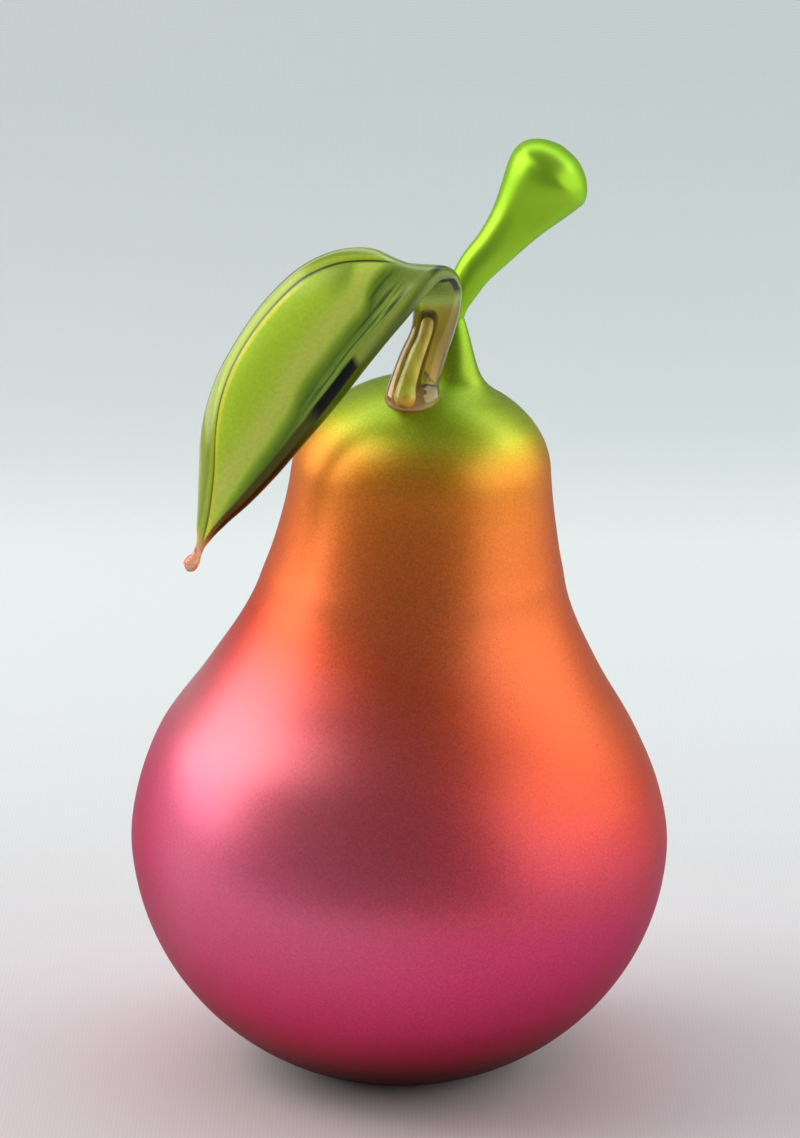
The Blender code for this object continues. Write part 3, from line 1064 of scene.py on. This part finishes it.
@dataclass
class FoldedLeaf:
    """The leaf: one strap of glass from foot to bead, and the gold core in its petiole."""

    stations: tuple[Row, ...] = (  # lower edge, upper edge, thickness, roundness, bow
        (0.0080, -0.0094, 0.1390, -0.0030, -0.0094, 0.1390, 0.0106, 2.0, 0.0),
        (0.0080, -0.0094, 0.1418, -0.0029, -0.0094, 0.1420, 0.0104, 2.0, 0.0),
        (0.0077, -0.0093, 0.1432, -0.0022, -0.0093, 0.1440, 0.0086, 2.0, 0.0),
        (0.0083, -0.0092, 0.1460, -0.0012, -0.0092, 0.1468, 0.0078, 2.0, 0.0),
        (0.0093, -0.0090, 0.1497, 0.0002, -0.0090, 0.1504, 0.0072, 2.0, 0.0),
        (0.0107, -0.0088, 0.1542, 0.0021, -0.0088, 0.1546, 0.0066, 2.1, 0.0),
        (0.0117, -0.0087, 0.1587, 0.0025, -0.0087, 0.1586, 0.0060, 2.2, 0.0),
        (0.0120, -0.0090, 0.1628, 0.0023, -0.0083, 0.1616, 0.0052, 2.4, 0.0),
        (0.0109, -0.0102, 0.1657, 0.0020, -0.0076, 0.1636, 0.0045, 2.6, 0.0),
        (0.0085, -0.0124, 0.1664, 0.0010, -0.0068, 0.1647, 0.0040, 2.8, 0.0001),
        (0.0056, -0.0146, 0.1641, -0.0008, -0.0063, 0.1669, 0.0036, 3.2, 0.0004),
        (0.0021, -0.0158, 0.1600, -0.0044, -0.0060, 0.1695, 0.0034, 4.0, 0.0010),
        (-0.0026, -0.0164, 0.1545, -0.0110, -0.0060, 0.1698, 0.0032, 5.0, 0.0016),
        (-0.0077, -0.0170, 0.1482, -0.0182, -0.0065, 0.1671, 0.0031, 6.0, 0.0021),
        (-0.0131, -0.0170, 0.1410, -0.0252, -0.0075, 0.1612, 0.0030, 6.0, 0.0023),
        (-0.0190, -0.0170, 0.1338, -0.0314, -0.0088, 0.1530, 0.0030, 6.0, 0.0023),
        (-0.0245, -0.0170, 0.1272, -0.0360, -0.0100, 0.1446, 0.0029, 6.0, 0.0021),
        (-0.0300, -0.0165, 0.1212, -0.0386, -0.0110, 0.1352, 0.0028, 5.0, 0.0017),
        (-0.0344, -0.0158, 0.1170, -0.0392, -0.0120, 0.1258, 0.0026, 4.0, 0.0010),
        (-0.0374, -0.0148, 0.1135, -0.0395, -0.0129, 0.1176, 0.0024, 3.0, 0.0004),
        (-0.0389, -0.0139, 0.1107, -0.0402, -0.0133, 0.1118, 0.0018, 2.0, 0.0),
        (-0.0392, -0.0137, 0.1096, -0.0408, -0.0133, 0.1105, 0.0020, 2.0, 0.0),
        (-0.0394, -0.0135, 0.1087, -0.0416, -0.0133, 0.1099, 0.0027, 2.0, 0.0),
        (-0.0397, -0.0135, 0.1077, -0.0425, -0.0135, 0.1091, 0.0032, 2.0, 0.0),
        (-0.0403, -0.0135, 0.1070, -0.0426, -0.0135, 0.1082, 0.0026, 2.0, 0.0),
        (-0.0413, -0.0135, 0.1067, -0.0421, -0.0135, 0.1071, 0.0010, 2.0, 0.0),
    )
    section: tuple[Row, ...] = (  # place from the lower edge (-1) to the upper (1), share of the bow
        (-1.0, -0.70),
        (-0.95, -0.25),
        (-0.86, 0.05),
        (-0.72, 0.18),
        (-0.50, 0.22),
        (-0.25, 0.58),
        (0.0, 0.90),
        (0.25, 1.00),
        (0.50, 0.85),
        (0.72, 0.55),
        (0.86, 0.28),
        (0.95, 0.10),
        (1.0, 0.0),
    )
    marks: dict[str, tuple[Row, ...]] = field(
        default_factory=lambda: {  # way along, place across
            "from_rim": (
                (0.0, 2.0),
                (0.25, 1.2),
                (0.29, 0.12),
                (0.316, 0.30),
                (0.357, 0.50),
                (0.40, 0.64),
                (0.44, 0.715),
                (0.475, 0.755),
                (0.52, 0.77),
                (0.56, 0.775),
                (0.60, 0.78),
                (0.64, 0.765),
                (0.69, 0.69),
                (0.724, 0.58),
                (0.75, 0.44),
                (0.79, 0.14),
                (0.857, -0.25),
                (0.90, -0.55),
                (0.94, -0.85),
                (1.0, -1.0),
            ),
            "from_arc": (
                (0.0, 0.6),
                (0.28, 0.5),
                (0.33, 0.35),
                (0.36, 0.16),
                (0.385, -0.06),
                (0.40, -0.24),
                (0.438, -0.33),
                (0.50, -0.39),
                (0.574, -0.42),
                (0.61, -0.52),
                (0.658, -0.57),
                (0.746, -0.60),
                (0.82, -0.68),
                (0.90, -0.85),
                (1.0, -1.0),
            ),
            "from_edge": ((0.0, -1.0), (0.5, -1.0), (1.0, -1.0)),
        }
    )
    step: float = 0.0006
    around: int = 144
    outline_points: int = 2001  # points on a section before they are spaced evenly
    core_stations: int = 7  # how many stations, from the foot, the core runs through
    core_upper: float = 0.0012  # how far in from the casing's upper edge it stays
    core_lower: float = 0.0038
    core_share: float = 1.22  # of the casing's thickness: a little proud, so that light reaches it
    core_roundness: float = 2.2
    core_ends: int = 8  # the power of the curve that closes its ends
    glass: CasedLeafGlass = field(default_factory=CasedLeafGlass)
    gold: GoldCoreGlass = field(default_factory=GoldCoreGlass)

    def ring(self, station: np.ndarray, forward: np.ndarray) -> tuple[np.ndarray, np.ndarray]:
        """Gives the points round the strap's section at one station.

        Args:
            station: Lower edge, upper edge, thickness, roundness and bow.
            forward: The way the strap runs there.

        Returns:
            The points, evenly spaced round the section, and each one's place across.
        """
        lower, upper = station[0:3], station[3:6]
        thickness, roundness, bow = station[6:9]
        half_width = np.linalg.norm(upper - lower) / 2
        across = (upper - lower) / (2 * half_width)
        under = np.cross(forward, across)
        under /= np.linalg.norm(under)
        angles = np.linspace(math.pi, -math.pi, self.outline_points)
        cosine, sine = np.cos(angles), np.sin(angles)
        place = np.sign(cosine) * np.abs(cosine) ** (2 / roundness)
        proud = np.sign(sine) * np.abs(sine) ** (2 / roundness) * thickness / 2
        steps = np.hypot(np.diff(place) * half_width, np.diff(proud))
        length = np.concatenate(([0.0], np.cumsum(steps)))
        wanted = np.linspace(0.0, length[-1], self.around, endpoint=False)
        place, proud = np.interp(wanted, length, place), np.interp(wanted, length, proud)
        curve = smooth_line(self.section, 0.02, 1)
        bowed = np.interp(place, curve[:, 0], curve[:, 1]) * bow
        centre = (lower + upper) / 2
        points = centre + np.outer(place * half_width, across) - np.outer(bowed + proud, under)
        return points, place

    def strap(self, name: str, stations: np.ndarray) -> bpy.types.Object:
        """Lofts a closed strap through its stations, with a UV of along and across.

        Args:
            name: The piece's name.
            stations: Rows like those of the leaf's own table, close together.

        Returns:
            The new object.
        """
        centres = (stations[:, 0:3] + stations[:, 3:6]) / 2
        forward = np.gradient(centres, axis=0)
        forward /= np.linalg.norm(forward, axis=1, keepdims=True)
        rings, places = zip(*(self.ring(row, way) for row, way in zip(stations, forward)))
        points = np.concatenate(rings)
        count, around = len(rings), self.around
        faces = []
        for index in range(count - 1):
            low, high = index * around, (index + 1) * around
            for turn in range(around):
                beside = (turn + 1) % around
                faces.append((low + turn, high + turn, high + beside, low + beside))
        faces.append(tuple(range(around)))
        faces.append(tuple(range((count - 1) * around, count * around))[::-1])
        mesh = bpy.data.meshes.new(name)
        mesh.from_pydata(points.tolist(), [], faces)
        along = np.repeat(np.linspace(0.0, 1.0, count), around)
        across = np.concatenate(places) / 2 + 0.5
        uv = mesh.uv_layers.new(name=ALONG_ACROSS)
        corners = np.zeros(len(mesh.loops), np.int32)
        mesh.loops.foreach_get("vertex_index", corners)
        uv.data.foreach_set("uv", np.stack((along[corners], across[corners]), 1).ravel())
        mesh.update()
        for mark, line in self.marks.items():
            table = smooth_line(line, 0.01, 1)
            at = np.interp(along, table[:, 0], table[:, 1])
            width = np.repeat(np.linalg.norm(stations[:, 3:6] - stations[:, 0:3], axis=1), around)
            distance = (np.concatenate(places) - at) * width / 2 / MM
            layer = mesh.attributes.new(mark, "FLOAT", "POINT")
            layer.data.foreach_set("value", distance)
        piece = bpy.data.objects.new(name, mesh)
        bpy.context.scene.collection.objects.link(piece)
        bpy.context.view_layer.objects.active = piece
        piece.select_set(True)
        bpy.ops.object.mode_set(mode="EDIT")
        bpy.ops.mesh.select_all(action="SELECT")
        bpy.ops.mesh.normals_make_consistent(inside=False)
        bpy.ops.object.mode_set(mode="OBJECT")
        return finish_mesh(piece, 0)

    def build(self, body: bpy.types.Object) -> None:
        """Models and dresses the leaf.

        Args:
            body: The blown body, which the leaf's foot is trimmed to.
        """
        stations = smooth_line(self.stations, self.step, 6)
        casing = self.strap("leaf_casing", stations)
        trim = casing.modifiers.new("Trim to dome", "BOOLEAN")
        trim.operation = "DIFFERENCE"
        trim.object = body
        bpy.context.view_layer.objects.active = casing
        bpy.ops.object.modifier_apply(modifier=trim.name)
        bpy.ops.object.shade_smooth()
        dress(casing, self.glass.build(), Slot.LEAF, "leaf")
        dress(self.strap("petiole_core", self.core()), self.gold.build(), Slot.LEAF)

    def core(self) -> np.ndarray:
        """Draws the first stations in from the casing's edges, closing at both ends.

        Returns:
            The core's rows.
        """
        rows = smooth_line(self.stations[: self.core_stations], self.step, 6)
        across = rows[:, 3:6] - rows[:, 0:3]
        width = np.linalg.norm(across, axis=1, keepdims=True)
        across /= width
        t = np.linspace(0.0, 1.0, len(rows))[:, None]
        closing = np.minimum(1.0, np.sqrt(np.maximum(1 - (2 * t - 1) ** self.core_ends, 0.0))) + 0.02
        aside = across * (self.core_lower - self.core_upper) / 2
        middle = (rows[:, 0:3] + rows[:, 3:6]) / 2 + aside
        room = np.maximum(width - self.core_upper - self.core_lower, 0.0004)
        half = room / 2 * np.minimum(closing, 1.0)
        rows[:, 0:3], rows[:, 3:6] = middle - across * half, middle + across * half
        rows[:, 6] *= self.core_share * np.minimum(closing[:, 0], 1.0)
        rows[:, 7] = self.core_roundness
        return rows


@dataclass(frozen=True)
class SoftLight:
    """A flat soft light: where it stands, what it faces, its size and how bright its face is."""

    name: str
    place: Row
    aim: Row
    size: Row
    radiance: float
    colour: str

    def build(self) -> None:
        """Adds the light to the scene."""
        data = bpy.data.lights.new(self.name, "AREA")
        data.shape = "RECTANGLE"
        data.size, data.size_y = self.size
        data.energy = self.radiance * math.pi * self.size[0] * self.size[1]
        data.color = linear(self.colour)[:3]
        lamp = bpy.data.objects.new(self.name, data)
        bpy.context.scene.collection.objects.link(lamp)
        lamp.location = self.place
        aim = Vector(self.aim) - Vector(self.place)
        lamp.rotation_euler = aim.to_track_quat("-Z", "Y").to_euler()


@dataclass
class Studio:
    """A pale sweep, the photo's camera, and four soft lights.

    A window-like one stands on each side, a small one high at the front left, and a strip lights
    the sweep.
    """

    lamps: tuple[SoftLight, ...] = (
        SoftLight("left", (-0.70, 0.14, 0.50), (0, 0, 0.09), (0.76, 0.80), 2.9, "#fff8f4"),
        SoftLight("high", (-0.45, -0.26, 0.78), (0, 0, 0.12), (0.30, 0.30), 1.3, "#fff8f4"),
        SoftLight("right", (0.70, -0.04, 0.34), (0, 0, 0.09), (1.15, 0.60), 1.45, "#fffaf4"),
        SoftLight("sweep", (0.28, 0.27, 0.60), (0.28, 0.27, 0), (1.2, 0.25), 2.15, "#f2fbff"),
    )
    room: float = 0.2
    cloth_front: float = -0.45
    cloth_turns_at: float = 0.50
    cloth_radius: float = 0.30
    cloth_height: float = 1.3
    cloth_half_width: float = 1.6
    cloth_spans: int = 32
    weave_mm: float = 2.6

    distance: float = 0.9
    elevation: float = 16.0
    aim_height: float = 0.1034
    focal_px: float = 4500.0
    image_height: int = 1138
    sensor: float = 36.0

    def build(self) -> None:
        """Makes the whole stage."""
        bpy.context.scene.view_settings.view_transform = "Standard"
        self.camera()
        self.sweep()
        for lamp in self.lamps:
            lamp.build()
        world = bpy.data.worlds.new("dim_room")
        bpy.context.scene.world = world
        world.use_nodes = True
        background = world.node_tree.nodes["Background"]
        background.inputs["Color"].default_value = linear("#eef2f6")
        background.inputs["Strength"].default_value = self.room

    def camera(self) -> None:
        """Stands the camera where the photograph was taken from."""
        data = bpy.data.cameras.new("photo_camera")
        data.sensor_width = self.sensor
        data.lens = self.focal_px / self.image_height * self.sensor
        camera = bpy.data.objects.new("photo_camera", data)
        bpy.context.scene.collection.objects.link(camera)
        tilt = math.radians(self.elevation)
        back = Vector((0.0, -math.cos(tilt), math.sin(tilt)))
        camera.location = Vector((0.0, 0.0, self.aim_height)) + back * self.distance
        camera.rotation_euler = (math.pi / 2 - tilt, 0.0, 0.0)
        bpy.context.scene.camera = camera

    def sweep(self) -> None:
        """Lays the pale floor and turns it up behind the pear."""
        turn, radius, half = self.cloth_turns_at, self.cloth_radius, self.cloth_half_width
        line = [(self.cloth_front, 0.0)]
        for angle in np.linspace(0.0, math.pi / 2, self.cloth_spans + 1):
            line.append((turn + radius * math.sin(angle), radius * (1 - math.cos(angle))))
        line.append((turn + radius, self.cloth_height))
        points = [(side * half, y, z) for y, z in line for side in (-1, 1)]
        faces = [(2 * i, 2 * i + 1, 2 * i + 3, 2 * i + 2) for i in range(len(line) - 1)]
        mesh = bpy.data.meshes.new("sweep")
        mesh.from_pydata(points, [], faces)
        mesh.shade_smooth()
        sweep = bpy.data.objects.new("sweep", mesh)
        bpy.context.scene.collection.objects.link(sweep)
        material, tree, shader = new_material("pale_cotton_cloth")
        place = add_node(tree, "ShaderNodeTexCoord").outputs["Object"]
        axes = add_node(tree, "ShaderNodeSeparateXYZ", links={0: place})
        back = add_node(
            tree,
            "ShaderNodeMapRange",
            values={"From Min": -0.2, "From Max": 0.7},
            links={"Value": axes.outputs["Y"]},
        )
        # the cloth's own warm to cool tint, with brighter and darker bands of painted light and
        # shade along its depth, darkest where it rises at the back
        tint_and_painted_light = add_node(
            tree,
            "ShaderNodeValToRGB",
            links={"Fac": back.outputs["Result"]},
            stops=[(0.0, "#f0e8eb"), (0.35, "#e2e4e6"), (0.65, "#ecf3f2"), (1.0, "#d2dbdc")],
        )
        threads = [
            add_node(
                tree,
                "ShaderNodeTexWave",
                {"bands_direction": direction},
                {"Scale": 1 / (self.weave_mm * MM), "Distortion": 1.5, "Detail": 2.0},
                {"Vector": place},
            ).outputs["Fac"]
            for direction in ("Y", "X")
        ]
        weave = add_node(
            tree, "ShaderNodeMath", {"operation": "ADD"}, links=dict(enumerate(threads))
        ).outputs["Value"]
        woven = toned(tree, tint_and_painted_light.outputs["Color"], weave, (0.0, 2.0), (0.95, 1.03))
        tree.links.new(woven, shader.inputs["Base Color"])
        shader.inputs["Roughness"].default_value = 0.9
        mesh.materials.append(material)


def main() -> None:
    logging.basicConfig(level=logging.INFO, format="%(name)s: %(message)s")
    body = BlownBody().build()
    FlaredStem().build()
    FoldedLeaf().build(body)
    Studio().build()


if __name__ == "__main__":
    main()
